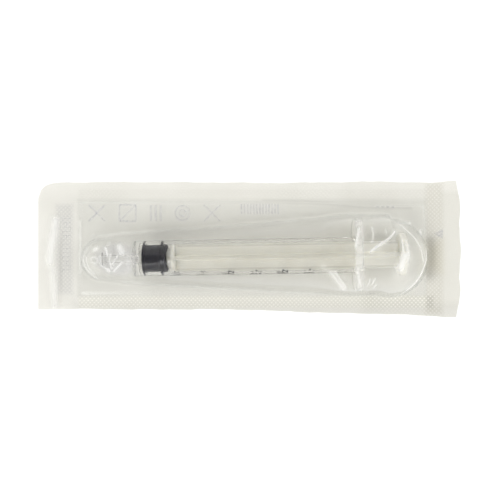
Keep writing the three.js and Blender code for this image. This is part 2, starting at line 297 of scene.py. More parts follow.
AXIS_HEIGHT = AXIS_POINT[2]
paper_low, paper_high = (np.array(corner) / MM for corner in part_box("paper_web"))
PAPER_FACE = paper_high[2] - 0.02
PAPER_CLEAR = 0.005
FILM_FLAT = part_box("film_end_seal")[0].z / MM
FILM_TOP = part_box("film_web")[1].z / MM
POUCH_LEFT = paper_low[0]
POUCH_LENGTH, POUCH_WIDTH = (paper_high - paper_low)[:2]
PEEL_LINE = next(j for j in frame["joints"] if j["name"] == "film_peel")["pos_m"][0] / MM

# The pocket that the film was formed with, on the paper: an oblong with one corner rounder.
POCKET_LEFT, POCKET_RIGHT = -52.0, 53.4
POCKET_LOW, POCKET_HIGH, POCKET_HIGH_RIGHT = -13.6, 15.0, 13.8

# ---- Materials ----


def material(name):
    """A new material, and its empty node tree."""
    made = bpy.data.materials.new(name)
    made.use_nodes = True
    made.node_tree.nodes.clear()
    return made, made.node_tree


def finished(made, shader):
    """The material, with that shader as its surface."""
    out = made.node_tree.nodes.new("ShaderNodeOutputMaterial")
    made.node_tree.links.new(shader.outputs[0], out.inputs["Surface"])
    return made


def feed(tree, socket, value):
    """Gives a socket a plain value or another node's output."""
    if isinstance(value, bpy.types.NodeSocket):
        tree.links.new(value, socket)
    else:
        socket.default_value = value


def node(tree, kind, **inputs):
    """A node with its inputs given by name, with _ for a space."""
    made = tree.nodes.new("ShaderNode" + kind)
    for name, value in inputs.items():
        feed(tree, made.inputs[name.replace("_", " ")], value)
    return made


def math_node(tree, operation, *values, clamp=False):
    """The result of a sum, product or other operation on some values."""
    made = node(tree, "Math")
    made.operation = operation
    made.use_clamp = clamp
    for socket, value in zip(made.inputs, values):
        feed(tree, socket, value)
    return made.outputs["Value"]


def place_in(tree, space="Object"):
    """The X, Y and Z outputs of each place on a piece, in metres."""
    place = node(tree, "TexCoord").outputs[space]
    return node(tree, "SeparateXYZ", Vector=place).outputs


def noise(tree, scale, detail=4, stretch=(1, 1, 1)):
    """A noise texture over the piece's own coordinates, in cycles per metre."""
    place = node(tree, "TexCoord").outputs["Object"]
    stretched = node(tree, "Mapping", Vector=place, Scale=stretch).outputs["Vector"]
    return node(tree, "TexNoise", Vector=stretched, Scale=scale, Detail=detail).outputs["Fac"]


def ramp(tree, factor, low, high, start=0.3, end=0.7):
    made = node(tree, "ValToRGB", Fac=factor)
    made.color_ramp.elements[0].position = start
    made.color_ramp.elements[0].color = (*low, 1)
    made.color_ramp.elements[1].position = end
    made.color_ramp.elements[1].color = (*high, 1)
    return made.outputs["Color"]


def bump(tree, height, strength, distance_mm):
    made = node(tree, "Bump", Strength=strength, Distance=distance_mm * MM, Height=height)
    return made.outputs["Normal"]


def box_share(tree, low, high, soft):
    """1 inside a box of X and Y, in millimetres, fading to 0 over soft outside it."""
    place = place_in(tree)
    shares = []
    for axis, start, end in (("X", low[0], high[0]), ("Y", low[1], high[1])):
        middle, half = (start + end) / 2 * MM, (end - start) / 2 * MM
        away = math_node(tree, "ABSOLUTE", math_node(tree, "SUBTRACT", place[axis], middle))
        past = math_node(tree, "DIVIDE", math_node(tree, "SUBTRACT", away, half), soft * MM)
        shares.append(math_node(tree, "SUBTRACT", 1.0, past, clamp=True))
    return math_node(tree, "MINIMUM", *shares)


def length_share(tree, start, end, soft):
    """1 between two places along X, whatever Y is."""
    return box_share(tree, (start, -POUCH_WIDTH), (end, POUCH_WIDTH), soft)


def mixed(tree, factor, first, second):
    """A mix of two shaders: all first where factor is 0, all second where it is 1."""
    mix = node(tree, "MixShader", Fac=factor)
    tree.links.new(first.outputs[0], mix.inputs[1])
    tree.links.new(second.outputs[0], mix.inputs[2])
    return mix


def shaded(tree, colour, share, by):
    """colour times by, where share is 1."""
    mix = node(tree, "Mix")
    mix.data_type = "RGBA"
    mix.blend_type = "MULTIPLY"
    mix.inputs["B"].default_value = (*by, 1)
    tree.links.new(share, mix.inputs["Factor"])
    tree.links.new(colour, mix.inputs["A"])
    return mix.outputs["Result"]


HATCH_PITCH = 1.26


def diamond_hatch(tree):
    """Dots set diamond-wise, as crossed diagonal ridges of a heat-seal bar leave them: -1 to 1."""
    place = place_in(tree)
    waves = []
    for axis in ("X", "Y"):
        angle = math_node(tree, "MULTIPLY", place[axis], 2 * math.pi / (HATCH_PITCH * MM))
        waves.append(math_node(tree, "SINE", angle))
    return math_node(tree, "MULTIPLY", waves[0], waves[1])


# Soft boxes on the paper, as low corner, high corner and soft edge.
TIP_SEAL = ((-58.6, -12.8), (-54.9, 13.2), 1.4)
HANDLE_SEAL = ((54.6, -18.6), (57.9, 19.5), 1.8)
# Duller and brighter places on the paper, two of them painted shade: a soft box and its colour.
PAPER_SHADES = (
    ((POCKET_LEFT, POCKET_LOW), (POCKET_RIGHT, POCKET_HIGH), 1.1, (0.885, 0.89, 0.885)),
    ((POCKET_LEFT, -17.2), (POCKET_RIGHT, -14.4), 0.8, (1.10, 1.10, 1.09)),
    ((POCKET_LEFT, -30), (70, -18), 3.0, (0.90, 0.90, 0.90)),
    ((58.8, -17), (70, 17), 1.5, (0.94, 0.94, 0.93)),
    ((-70, -17), (-53, 15), 3.0, (0.965, 0.965, 0.965)),
    # Painted shade, darker towards the pocket's tip end.
    ((-51.5, -13), (-42, 14), 8.0, (0.955, 0.955, 0.955)),
    # A painted shadow of the film's end dome, just beyond it.
    ((54.2, -4.5), (56.6, 0.5), 4.0, (0.95, 0.935, 0.885)),
    (*TIP_SEAL, (0.965, 0.966, 0.972)),
    (*HANDLE_SEAL, (0.975, 0.972, 0.965)),
)
# Bands where a knurled bar pressed film and paper together: a soft box and its colour.
SEAL_BANDS = (
    (*TIP_SEAL, (0.885, 0.887, 0.895)),
    (*HANDLE_SEAL, (0.89, 0.885, 0.865)),
    ((POCKET_LEFT, -17.2), (55.6, -14.4), 0.8, (0.85, 0.85, 0.84)),
    ((36.0, -18.2), (55.6, -14.8), 3.0, (0.93, 0.93, 0.92)),
    ((POCKET_LEFT, 16.0), (POCKET_RIGHT, 18.2), 0.8, (0.95, 0.95, 0.945)),
)


def paper_material():
    """Medical paper: cloudy fibres, whiter where the film is bonded, duller behind the pocket, with
    painted shade towards the pocket's tip end and a painted shadow beside the end dome.
    """
    made, tree = material("pouch_paper")
    fibres = noise(tree, 900, detail=6, stretch=(1, 2.5, 1))
    clouds = noise(tree, 90, detail=3)
    shade = math_node(tree, "MULTIPLY_ADD", clouds, 0.6, math_node(tree, "MULTIPLY", fibres, 0.4))
    colour = ramp(tree, shade, (0.775, 0.765, 0.725), (0.815, 0.805, 0.77))
    for low, high, soft, by in PAPER_SHADES:
        colour = shaded(tree, colour, box_share(tree, low, high, soft), by)
    dots = math_node(tree, "MULTIPLY_ADD", diamond_hatch(tree), -1.2, 0.9, clamp=True)
    for low, high, soft, by in SEAL_BANDS:
        band = math_node(tree, "MULTIPLY", box_share(tree, low, high, soft), dots)
        colour = shaded(tree, colour, band, by)
    matt = {"Roughness": 0.85, "Specular_IOR_Level": 0.2, "Normal": bump(tree, fibres, 0.25, 0.05)}
    return finished(made, node(tree, "BsdfPrincipled", Base_Color=colour, **matt))


def point_mark(tree, name):
    """The value kept under that name on a piece's points."""
    mark = node(tree, "Attribute")
    mark.attribute_name = name
    return mark.outputs["Fac"]


def film_material():
    """Clear film: see-through, duller aslant, with painted highlights along its creases, painted shade
    in places, and a grey layer where it is crumpled over the nozzle.

    It reads two marks on its points: the painted light, a painted highlight that below 0 is painted
    shade dimming what is behind, and the share of the grey layer, partly the crumpled film's milkiness
    and partly painted shade.
    """
    made, tree = material("pouch_film")
    facing = node(tree, "LayerWeight", Blend=0.5)
    grazing = math_node(tree, "POWER", facing.outputs["Facing"], 3.5)
    painted_light, veil_shade = point_mark(tree, "painted_light"), point_mark(tree, "veil_shade")
    # Below 0 the painted light is painted shade, dimming what is behind.
    dim = math_node(tree, "MULTIPLY", painted_light, -1.0, clamp=True)
    slant = ramp(tree, grazing, (0.99, 0.99, 0.985), (0.83, 0.84, 0.84), 0, 1)
    see = node(tree, "BsdfTransparent", Color=shaded(tree, slant, dim, (0, 0, 0)))
    haze = node(tree, "BsdfPrincipled", Roughness=0.4, Base_Color=(0.95, 0.95, 0.935, 1))
    # The grey layer over the nozzle: partly the crumpled film's milkiness, partly painted shade.
    crumpled = node(tree, "BsdfPrincipled", Roughness=0.5, Base_Color=(0.47, 0.47, 0.495, 1))
    sheen = node(tree, "BsdfGlossy", Roughness=0.16, Color=(1, 1, 1, 1))
    # Above 0 the painted light mixes in a whitish haze as a painted highlight.
    share = math_node(tree, "MULTIPLY_ADD", noise(tree, 60, detail=3), 0.006, painted_light, clamp=True)
    mirror = math_node(tree, "MULTIPLY_ADD", grazing, 0.6, 0.012)
    surface = see
    for factor, layer in ((veil_shade, crumpled), (share, haze), (mirror, sheen)):
        surface = mixed(tree, factor, surface, layer)
    return finished(made, surface)


def barrel_material():
    """Natural polypropylene: clear where it is thin, milky in the depth of the flange."""
    made, tree = material("barrel_plastic")
    ripple = bump(tree, noise(tree, 60, detail=1, stretch=(0.15, 1, 1)), 0.012, 0.03)
    clarity = {"IOR": 1.16, "Transmission_Weight": 1.0, "Specular_IOR_Level": 0.3, "Normal": ripple}
    shader = node(tree, "BsdfPrincipled", Base_Color=(0.985, 0.985, 0.977, 1), Roughness=0.13, **clarity)
    haze = node(tree, "BsdfPrincipled", Base_Color=(0.80, 0.80, 0.78, 1), Roughness=0.5)
    flange = length_share(tree, FLANGE_FRONT + 0.1, FLANGE_REAR - 0.1, 0.3)
    front = length_share(tree, SHOULDER - 0.5, SHOULDER + 1.6, 0.4)
    thick = math_node(tree, "MULTIPLY_ADD", front, 0.5, flange)
    milk = math_node(tree, "MULTIPLY_ADD", thick, 0.29, 0.001)
    clear = node(tree, "BsdfTransparent", Color=(0.93, 0.925, 0.91, 1))
    ray = node(tree, "LightPath").outputs
    straight = math_node(tree, "MAXIMUM", ray["Is Shadow Ray"], ray["Is Diffuse Ray"])
    return finished(made, mixed(tree, straight, mixed(tree, milk, shader, haze), clear))


def axis_distance(tree):
    """How far a point is from the syringe's axis, in metres."""
    vector = node(tree, "TexCoord").outputs["Object"]
    for operation, second in (("SUBTRACT", AXIS_POINT * MM), ("CROSS_PRODUCT", ALONG)):
        step = node(tree, "VectorMath")
        step.operation = operation
        step.inputs[1].default_value = second
        tree.links.new(vector, step.inputs[0])
        vector = step.outputs["Vector"]
    length = node(tree, "VectorMath", Vector=vector)
    length.operation = "LENGTH"
    return length.outputs["Value"]


# Painted shade on the rod's blades: where it starts darkening them towards their edges, from the
# axis, and over how far.
BLADE_RIM, BLADE_RIM_SOFT = 3.1, 0.3


def rod_material():
    """Natural polypropylene, which lets much of the light through, with painted shade at the blades'
    edges and on the thumb plate.
    """
    made, tree = material("rod_plastic")
    colour = ramp(tree, noise(tree, 120, detail=3), (0.66, 0.655, 0.617), (0.735, 0.73, 0.692))
    # Painted shade towards the blades' edges.
    past = math_node(tree, "SUBTRACT", axis_distance(tree), BLADE_RIM * MM)
    edge = math_node(tree, "DIVIDE", past, BLADE_RIM_SOFT * MM, clamp=True)
    blades = length_share(tree, STOPPER_REAR + 3, PLATE_FRONT - 0.3, 0.3)
    plate = length_share(tree, PLATE_FRONT - 0.2, PLATE_REAR + 1, 0.2)
    disc = length_share(tree, STOPPER_REAR + 0.2, STOPPER_REAR + 2.6, 0.3)
    colour = shaded(tree, colour, math_node(tree, "MULTIPLY", edge, blades), (0.74, 0.74, 0.74))
    # Painted shade on the thumb plate.
    colour = shaded(tree, colour, plate, (0.90, 0.90, 0.89))
    colour = shaded(tree, colour, disc, (0.78, 0.78, 0.78))
    grain = bump(tree, noise(tree, 500, detail=2), 0.08, 0.03)
    shader = node(tree, "BsdfPrincipled", Base_Color=colour, Roughness=0.32, Normal=grain)
    for name, value in (("Weight", 0.7), ("Radius", (0.004, 0.0038, 0.0033)), ("Scale", 1.0)):
        feed(tree, shader.inputs[f"Subsurface {name}"], value)
    clear = node(tree, "BsdfTransparent", Color=(0.9, 0.9, 0.88, 1))
    through = math_node(tree, "MULTIPLY", node(tree, "LightPath").outputs["Is Shadow Ray"], 0.65)
    return finished(made, mixed(tree, through, shader, clear))


def rubber_material():
    """Black rubber with an even, dull bloom."""
    made, tree = material("stopper_rubber")
    clouds = noise(tree, 700, detail=5)
    colour = ramp(tree, clouds, (0.003, 0.0027, 0.0065), (0.009, 0.0080, 0.0160))
    rough = math_node(tree, "MULTIPLY_ADD", clouds, 0.25, 0.45)
    dull = {"Roughness": rough, "Specular_IOR_Level": 0.06, "Normal": bump(tree, clouds, 0.15, 0.03)}
    return finished(made, node(tree, "BsdfPrincipled", Base_Color=colour, **dull))


def ink_material(name, colour, solid):
    """Ink in a slightly broken layer, part see-through where it is thin."""
    made, tree = material(name)
    shader = node(tree, "BsdfPrincipled", Base_Color=(*colour, 1), Roughness=0.6)
    share = math_node(tree, "MULTIPLY_ADD", noise(tree, 2500, detail=3), 0.3, solid - 0.15)
    return finished(made, mixed(tree, share, node(tree, "BsdfTransparent"), shader))


def floor_material():
    made, tree = material("floor")
    return finished(made, node(tree, "BsdfDiffuse", Color=(0.95, 0.95, 0.95, 1)))


# ---- Syringe ----

BARREL_SIDES = 160
FLANGE_CORNER = 5.0
# How often the search for the flange's outline halves its range.
HALVINGS = 30
SHOULDER_ROUND = 0.6
EDGE_ROUND = 0.35
TIP_EDGE = 0.3
ROOT_ROUND = 0.5
# How much the tip's taper adds to its radius at the root.
ROOT_RISE = 0.25
# Where the tube swells into the flange: how far before it, and how far out.
FLANGE_BLEND = ((0.6, 0.0), (0.25, 0.06), (0.06, 0.25), (0.0, 0.6))
BORE_EDGE = 0.3


def flange_outline(angles):
    """How far the oval flange reaches at angles from straight up: a box with round corners."""
    across, above = np.abs(np.sin(angles)), np.abs(np.cos(angles))
    low, high = np.zeros_like(angles), np.full_like(angles, 2 * FLANGE_HALF_WIDTH)
    for _ in range(HALVINGS):
        middle = (low + high) / 2
        out_y = np.maximum(middle * across - (FLANGE_HALF_WIDTH - FLANGE_CORNER), 0)
        out_z = np.maximum(middle * above - (FLANGE_HALF_HEIGHT - FLANGE_CORNER), 0)
        inside = np.hypot(out_y, out_z) < FLANGE_CORNER
        low, high = np.where(inside, middle, low), np.where(inside, high, middle)
    return low


def barrel_profile():
    """The barrel's section, round the outside from the tip to the mouth and back along the bore."""
    tube, bore = BARREL_RADIUS, BORE_RADIUS
    front, rear, shoulder = FLANGE_FRONT, FLANGE_REAR, SHOULDER
    tip = arc((TIP_END + TIP_EDGE, TIP_RADIUS - TIP_EDGE), TIP_EDGE, 180, 90, 4)
    root = arc((shoulder - ROOT_ROUND, TIP_RADIUS + ROOT_RISE + ROOT_ROUND), ROOT_ROUND, -90, 0, 5)
    corner = arc((shoulder + SHOULDER_ROUND, tube - SHOULDER_ROUND), SHOULDER_ROUND, 180, 90, 6)
    blend = [(front - before, tube + out) for before, out in FLANGE_BLEND]
    face = [(front, tube, 0.5), (front, tube, 0.94), (front + 0.1, tube, 0.98)]
    rim = [(front + EDGE_ROUND, tube, 1), (rear - EDGE_ROUND, tube, 1)]
    back = [(rear - 0.1, tube, 0.98), (rear, tube, 0.94), (rear, tube, 0.5), (rear, tube)]
    mouth = [(rear, bore + BORE_EDGE), (rear - 0.09, bore + 0.09), (rear - BORE_EDGE, bore)]
    inside = [(BORE_FRONT + BORE_EDGE, bore), (BORE_FRONT, bore - 0.25)]
    cone = [(BORE_FRONT - 0.35, TIP_BORE + 0.4), (BORE_FRONT - 0.8, TIP_BORE), (TIP_END, TIP_BORE)]
    return [*tip, *root, *corner, *blend, *face, *rim, *back, *mouth, *inside, *cone]


def barrel():
    """The barrel, in one moulding with its tip and its flange."""
    points, faces = turned(barrel_profile(), BARREL_SIDES, closed=True, radius_at=flange_outline)
    made = new_object("barrel_moulding", from_syringe(points), faces, barrel_material(), sharp_over=50)
    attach(made, "syringe")
    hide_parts("barrel")


STOPPER_SIDES = 128
# How much wider than the bore the ribs are drawn, because rubber is squeezed there.
CONTACT = 0.02
RIB_WIDTH = 0.95
RIB_ROUND = 0.2
FRONT_ROUND = 0.4
WAIST_DEPTH = 0.42
COLLAR_LENGTH = 0.6
COLLAR_RISE = 0.15
SOCKET_RADIUS = 3.0
SOCKET_MOUTH = 2.3
SOCKET_DEPTH = 4.4
SOCKET_LIP = 0.9


def stopper():
    """The stopper: a rib at each end of a waist, a collar behind, and a socket for the rod's knob."""
    full = BORE_RADIUS + CONTACT
    waist = BORE_RADIUS - WAIST_DEPTH
    front, rear = STOPPER_FRONT, STOPPER_REAR
    rib_end = front + RIB_WIDTH
    rear_rib = rear - COLLAR_LENGTH - RIB_WIDTH
    collar, socket = rear_rib + RIB_WIDTH, rear - SOCKET_DEPTH
    profile = [(front - 0.02, 0.4), (front, 2.0), (front + 0.05, full - 0.5)]
    profile += arc((front + FRONT_ROUND, full - FRONT_ROUND), FRONT_ROUND, 175, 90, 5)
    profile += arc((rib_end - RIB_ROUND, full - RIB_ROUND), RIB_ROUND, 90, 0, 3)
    profile += [(rib_end + 0.15, waist + 0.08), (rib_end + 0.5, waist)]
    profile += [(rear_rib - 0.5, waist), (rear_rib - 0.15, waist + 0.08)]
    profile += rounded_rim(rear_rib, collar, full, RIB_ROUND, 3)
    profile += [(collar + 0.02, waist + COLLAR_RISE), (rear - 0.12, waist + COLLAR_RISE), (rear, waist)]
    profile += [(rear, SOCKET_MOUTH), (rear - SOCKET_LIP, SOCKET_MOUTH)]
    profile += [(rear - SOCKET_LIP - 0.3, SOCKET_RADIUS), (socket + 0.3, SOCKET_RADIUS)]
    profile += [(socket, SOCKET_RADIUS - 0.6), (socket, 0.4)]
    points, faces = turned(profile, STOPPER_SIDES)
    made = new_object("stopper_rubber", from_syringe(points), faces, rubber_material(), sharp_over=45)
    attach(made, "piston")
    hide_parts("stopper")


ROD_SIDES = 96
BLADE_THICK = 1.1
BLADE_ROUND = 0.2
BLADE_FILLET = 0.45
KNOB_RADIUS = 2.6
NECK_RADIUS = 1.9
BOSS_RADIUS = 3.0
DISC_RADIUS = 4.15
DISC_EDGE = 0.2
# The guide disc's two faces, behind the stopper.
DISC_START, DISC_END = 1.5, 2.7
PLATE_EDGE = 0.4
# The shallow dish in the thumb plate.
DISH_RADIUS = 4.9
DISH_DEPTH = 0.3


def blade_outline():
    """A cross with rounded blade ends and filleted inner corners, anticlockwise."""
    half, round_end, fillet = BLADE_THICK / 2, BLADE_ROUND, BLADE_FILLET
    quarter = []
    for centre, start, end, radius in (
        ((BLADE_HALF - round_end, -half + round_end), -90, 0, round_end),
        ((BLADE_HALF - round_end, half - round_end), 0, 90, round_end),
        ((half + fillet, half + fillet), 270, 180, fillet),
    ):
        quarter += arc(centre, radius, start, end, 4)
    outline = []
    for _ in range(4):
        outline += quarter
        quarter = [(-z, y) for y, z in quarter]
    return outline


def joined(name, shapes, mat):
    """One closed moulding from overlapping closed shapes."""
    first, *others = [new_object(name, from_syringe(points), faces, mat) for points, faces in shapes]
    for part in others:
        union = first.modifiers.new("union", "BOOLEAN")
        union.operation = "UNION"
        union.solver = "EXACT"
        union.object = part
        first.data = evaluated_mesh(first)
        first.modifiers.clear()
        bpy.data.objects.remove(part)
    first.data.shade_smooth()
    first.data.set_sharp_from_angle(angle=math.radians(35))
    return first


def rod():
    """The plunger rod: knob and neck in the stopper, boss, guide disc, crossed blades, thumb plate."""
    rear = STOPPER_REAR
    head = [(ROD_FRONT, 1.2), (ROD_FRONT + 0.2, NECK_RADIUS), (ROD_FRONT + 0.7, KNOB_RADIUS)]
    head += [(rear - 1.7, KNOB_RADIUS), (rear - 1.1, NECK_RADIUS), (rear + 0.3, NECK_RADIUS)]
    head += [(rear + 0.32, BOSS_RADIUS - 0.1), (rear + DISC_START, BOSS_RADIUS)]
    head += rounded_rim(rear + DISC_START, rear + DISC_END, DISC_RADIUS, DISC_EDGE, 3)
    head += [(rear + DISC_END, 2.0)]
    plate = [(PLATE_FRONT, 2.0), *rounded_rim(PLATE_FRONT, PLATE_REAR, PLATE_RADIUS, PLATE_EDGE, 4)]
    plate += [(PLATE_REAR, DISH_RADIUS), (PLATE_REAR - 0.25, DISH_RADIUS - 0.3)]
    plate += [(PLATE_REAR - DISH_DEPTH, 2.0)]
    blades = prism(blade_outline(), rear + 2.2, PLATE_FRONT + 0.4)
    shapes = [turned(head, ROD_SIDES), blades, turned(plate, ROD_SIDES)]
    made = joined("plunger_moulding", shapes, rod_material())
    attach(made, "plunger")
    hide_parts("plunger_rod")


# ---- Printed scale ----

DOSE_STEPS = 30
STEPS_PER_MAJOR = 5
FIRST_MAJOR = -22.1
MAJOR_PITCH = 7.93
INK_LIFT = 0.012
INK_THICK = 0.02
# A line's straight pieces round the barrel, in degrees.
TICK_STEP = 4
NUMERAL_HEIGHT = 3.3
# A figure's height in the typeface's own size, and the narrow strips that let it follow the barrel.
CAPITAL_SHARE = 0.7
NUMERAL_REACH = 4
NUMERAL_SLICE = 0.3
NUMERAL_CENTRE = 78
# Lines of the scale: the angles from the barrel's top that they run between, and their width.
MAJOR_LINE = (104, 158, 0.3)
MINOR_LINE = (126, 158, 0.2)
SHORT_LINE = (46, 54, 0.3)
NUMERALS = ("½", "1", "1½", "2", "2½", "3")


def wrapped(points):
    """Points of (along, round the barrel, ink height), the round distance counted from straight up."""
    points = np.asarray(points, float)
    angle = points[:, 1] / BARREL_RADIUS
    radius = BARREL_RADIUS + INK_LIFT + points[:, 2]
    across, above = -radius * np.sin(angle), radius * np.cos(angle)
    return from_syringe(np.stack([points[:, 0], across, above], axis=1))


def tick(place, start, end, width):
    """A line round the barrel between two angles from the top, in degrees."""
    steps = max(2, int((end - start) / TICK_STEP))
    turns = np.radians(np.linspace(start, end, steps + 1)) * BARREL_RADIUS
    corners = bar_section(place - width / 2, place + width / 2, INK_THICK)
    points, faces = lofted([[(x, turn, z) for x, z in corners] for turn in turns])
    return wrapped(points), faces


def numeral(text, place):
    """A numeral that reads with the syringe's tip up."""
    curve = bpy.data.curves.new("numeral", "FONT")
    curve.body = text
    curve.size = NUMERAL_HEIGHT / CAPITAL_SHARE
    curve.align_x = curve.align_y = "CENTER"
    holder = linked("numeral", curve)
    mesh = evaluated_mesh(holder)
    bpy.data.objects.remove(holder)
    shape = bmesh.new()
    shape.from_mesh(mesh)
    bmesh.ops.remove_doubles(shape, verts=shape.verts, dist=0.001)
    for x in np.arange(-NUMERAL_REACH, NUMERAL_REACH, NUMERAL_SLICE):
        everything = [*shape.verts, *shape.edges, *shape.faces]
        bmesh.ops.bisect_plane(shape, geom=everything, plane_co=(x, 0, 0), plane_no=(1, 0, 0))
    raised = bmesh.ops.extrude_face_region(shape, geom=shape.faces[:])
    for v in raised["geom"]:
        if isinstance(v, bmesh.types.BMVert):
            v.co.z += INK_THICK
    shape.verts.index_update()
    centre = math.radians(NUMERAL_CENTRE) * BARREL_RADIUS
    points = [(place - v.co.y, centre - v.co.x, v.co.z) for v in shape.verts]
    faces = [[v.index for v in f.verts] for f in shape.faces]
    shape.free()
    return wrapped(points), faces


def merged(parts):
    """One list of points and faces from several."""
    points, faces, n = [], [], 0
    for some_points, some_faces in parts:
        points.append(some_points)
        faces += [[i + n for i in f] for f in some_faces]
        n += len(some_points)
    return np.concatenate(points), faces


def scale():
    """The volume scale: its lines in one piece and its numerals in another."""
    ink = ink_material("scale_ink", (0.03, 0.03, 0.035), 0.9)
    zero = FIRST_MAJOR - MAJOR_PITCH
    parts = []
    for step in range(DOSE_STEPS + 1):
        place = zero + step * MAJOR_PITCH / STEPS_PER_MAJOR
        major = step % STEPS_PER_MAJOR == 0
        parts.append(tick(place, *(MAJOR_LINE if major else MINOR_LINE)))
        if major and step:
            parts.append(tick(place, *SHORT_LINE))
    numbers = [numeral(text, FIRST_MAJOR + k * MAJOR_PITCH) for k, text in enumerate(NUMERALS)]
    for name, shapes in (("scale_lines", parts), ("scale_numerals", numbers)):
        made = new_object(name, *merged(shapes), ink)
        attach(made, "syringe")


# ---- Pouch ----

CELL = 0.25
PAPER_CELL = 0.9
FILM_THICK = 0.12
SYRINGE_CLEAR = 0.3
# The film's form, along the syringe's axis: domes over its two ends and a tent between them, with
# its height, how far its foot reaches to each side, and how square its section is.
TIP_DOME = {"x": -45.0, "y": -2.75, "radius": 6.2, "height": 9.3, "squareness": 2.3}
END_DOME = {"x": 42.2, "y": -2.4, "radius": 11.6, "height": 12.75, "squareness": 2.6}
TENT_TOP = ((-50, 9.0), (-35, 12.3), (FLANGE_FRONT - 1, 13.25), (60, 13.25))
TENT_SQUARENESS = ((-36, 1.5), (20, 1.7), (FLANGE_FRONT - 3, 3.2), (FLANGE_REAR + 3, 3.2), (60, 2.6))
TENT_FOOT = ((-46, 6.6), (-37, 7.6), (-28, 8.3), (11, 10.7), (FLANGE_FRONT - 1, 11.9), (60, 11.6))


def smoothstep(value, low, high):
    share = np.clip((value - low) / (high - low), 0, 1)
    return share * share * (3 - 2 * share)


def near(distance, full, none):
    """1 within one distance, falling to 0 at another."""
    return smoothstep(-distance, -none, -full)


def table(pairs, at):
    """The value that pairs of (place, value) give at some places."""
    return np.interp(at, [p[0] for p in pairs], [p[1] for p in pairs])


# Along the pouch, its long cut edges end here and its handle end's cut edge starts.
LONG_END, HANDLE_START = 126, 127
paper_points = node_points("paper_web")
handle_column = paper_points[paper_points[:, 0] > POUCH_LEFT + HANDLE_START]
handle_column = handle_column[np.argsort(handle_column[:, 1])]
long_columns = paper_points[paper_points[:, 0] <= POUCH_LEFT + LONG_END]
column_x = np.unique(long_columns[:, 0].round(3))
column_y = [long_columns[np.abs(long_columns[:, 0] - x) < 0.01][:, 1] for x in column_x]
corner_x = handle_column[:, 0].min()
EDGE_X = np.append(column_x, corner_x)
LOW_EDGE = np.array([y.min() for y in column_y] + [handle_column[:, 1].min()])
HIGH_EDGE = np.array([y.max() for y in column_y] + [handle_column[:, 1].max()])
LOWEST, HIGHEST = LOW_EDGE.min(), HIGH_EDGE.max()


def ragged(t, seed):
    """A small uneven wander of a cut edge, in millimetres."""
    waves = ((2.1, 0.10), (5.3, 0.07), (11.9, 0.05), (23.0, 0.03))
    return sum(size * np.sin(t * 0.06 * rate + seed * rate) for rate, size in waves)


def cut_edges(x):
    """The pouch's low and high long cut edges."""
    low = np.interp(x, EDGE_X, LOW_EDGE) + ragged(x, 1)
    high = np.interp(x, EDGE_X, HIGH_EDGE) + ragged(x, 4)
    return low, high


CORNER_FLARE = 0.9
# How far from the handle end, and from the long edges, the grid bends to follow them.
END_BLEND = 9
SIDE_BLEND = 4.0


def unit_grid(left, right, cell):
    """Columns from left to right and rows from 0 to 1, about a cell apart on the pouch."""
    columns, rows = int((right - left) / cell) + 1, int((HIGHEST - LOWEST) / cell) + 1
    return np.linspace(left, right, columns)[:, None], np.linspace(0, 1, rows)[None, :]


def outline_grid(left, cell):
    """x and y grids over the pouch from left to its handle end, following its cut edges."""
    right = handle_column[:, 0].max()
    x, v = unit_grid(left, right, cell)
    share = smoothstep(x, right - END_BLEND, right)
    low, high = cut_edges(x)
    high = high + CORNER_FLARE * share
    level = LOWEST + v * (HIGHEST - LOWEST)
    inner_low, inner_high = low + SIDE_BLEND, high - SIDE_BLEND
    below = (inner_low - level) / (inner_low - LOWEST + 1e-9)
    above = (level - inner_high) / (HIGHEST - inner_high + 1e-9)
    y = np.clip(level, inner_low, inner_high)
    y = y - SIDE_BLEND * np.clip(below, 0, 1) + SIDE_BLEND * np.clip(above, 0, 1)
    reach = np.interp(y, handle_column[:, 1], handle_column[:, 0]) + 0.5 * ragged(y * 2, 2)
    return x + share * (reach - right), y


def end_grid():
    """x and y grids over the pouch's tip end, left of the line that the film peels from."""
    x, v = unit_grid(POUCH_LEFT, PEEL_LINE - 0.02, CELL)
    low, high = cut_edges(x)
    y = low + v * (high - low)
    return x + 0 * y, y


def in_axis(x, y):
    """Distance along and across the syringe's axis, seen from above."""
    away_x, away_y = x - AXIS_POINT[0], y - AXIS_POINT[1]
    return away_x * ALONG[0] + away_y * ALONG[1], away_x * ACROSS[0] + away_y * ACROSS[1]


def syringe_top(x, y):
    """The height of the syringe's upper surface, or 0 beside it."""
    along, across = in_axis(x, y)
    aside = np.abs(across)
    past = np.maximum(aside - (FLANGE_HALF_WIDTH - FLANGE_CORNER), 0)
    flange = FLANGE_HALF_HEIGHT - FLANGE_CORNER + np.sqrt(np.maximum(FLANGE_CORNER**2 - past**2, 0))
    top = np.zeros_like(x + y)
    # Each part's two ends, its half width and its height above the axis, or None where it is round.
    for start, end, half, height in (
        (TIP_END, SHOULDER, TIP_RADIUS + 0.2, None),
        (SHOULDER, FLANGE_FRONT, BARREL_RADIUS, None),
        (PLATE_FRONT - PUSH_IN, PLATE_REAR, PLATE_RADIUS + 0.1, None),
        (FLANGE_REAR, PLATE_FRONT, BLADE_THICK / 2 + 0.2, None),
        (FLANGE_FRONT, FLANGE_REAR, FLANGE_HALF_WIDTH, flange),
        (FLANGE_REAR, PLATE_FRONT, BLADE_THICK / 2, BLADE_HALF),
    ):
        if height is None:
            height = np.sqrt(np.maximum(half**2 - across**2, 0))
        inside = (along > start) & (along < end) & (aside < half)
        top = np.maximum(top, np.where(inside, AXIS_HEIGHT + height, 0))
    return top


def dome(x, y, place):
    """A dome over one end of the syringe."""
    squareness = place["squareness"]
    share = np.hypot(x - place["x"], y - place["y"]) / place["radius"]
    return place["height"] * (1 - np.clip(share, 0, 1) ** squareness) ** (1 / squareness)


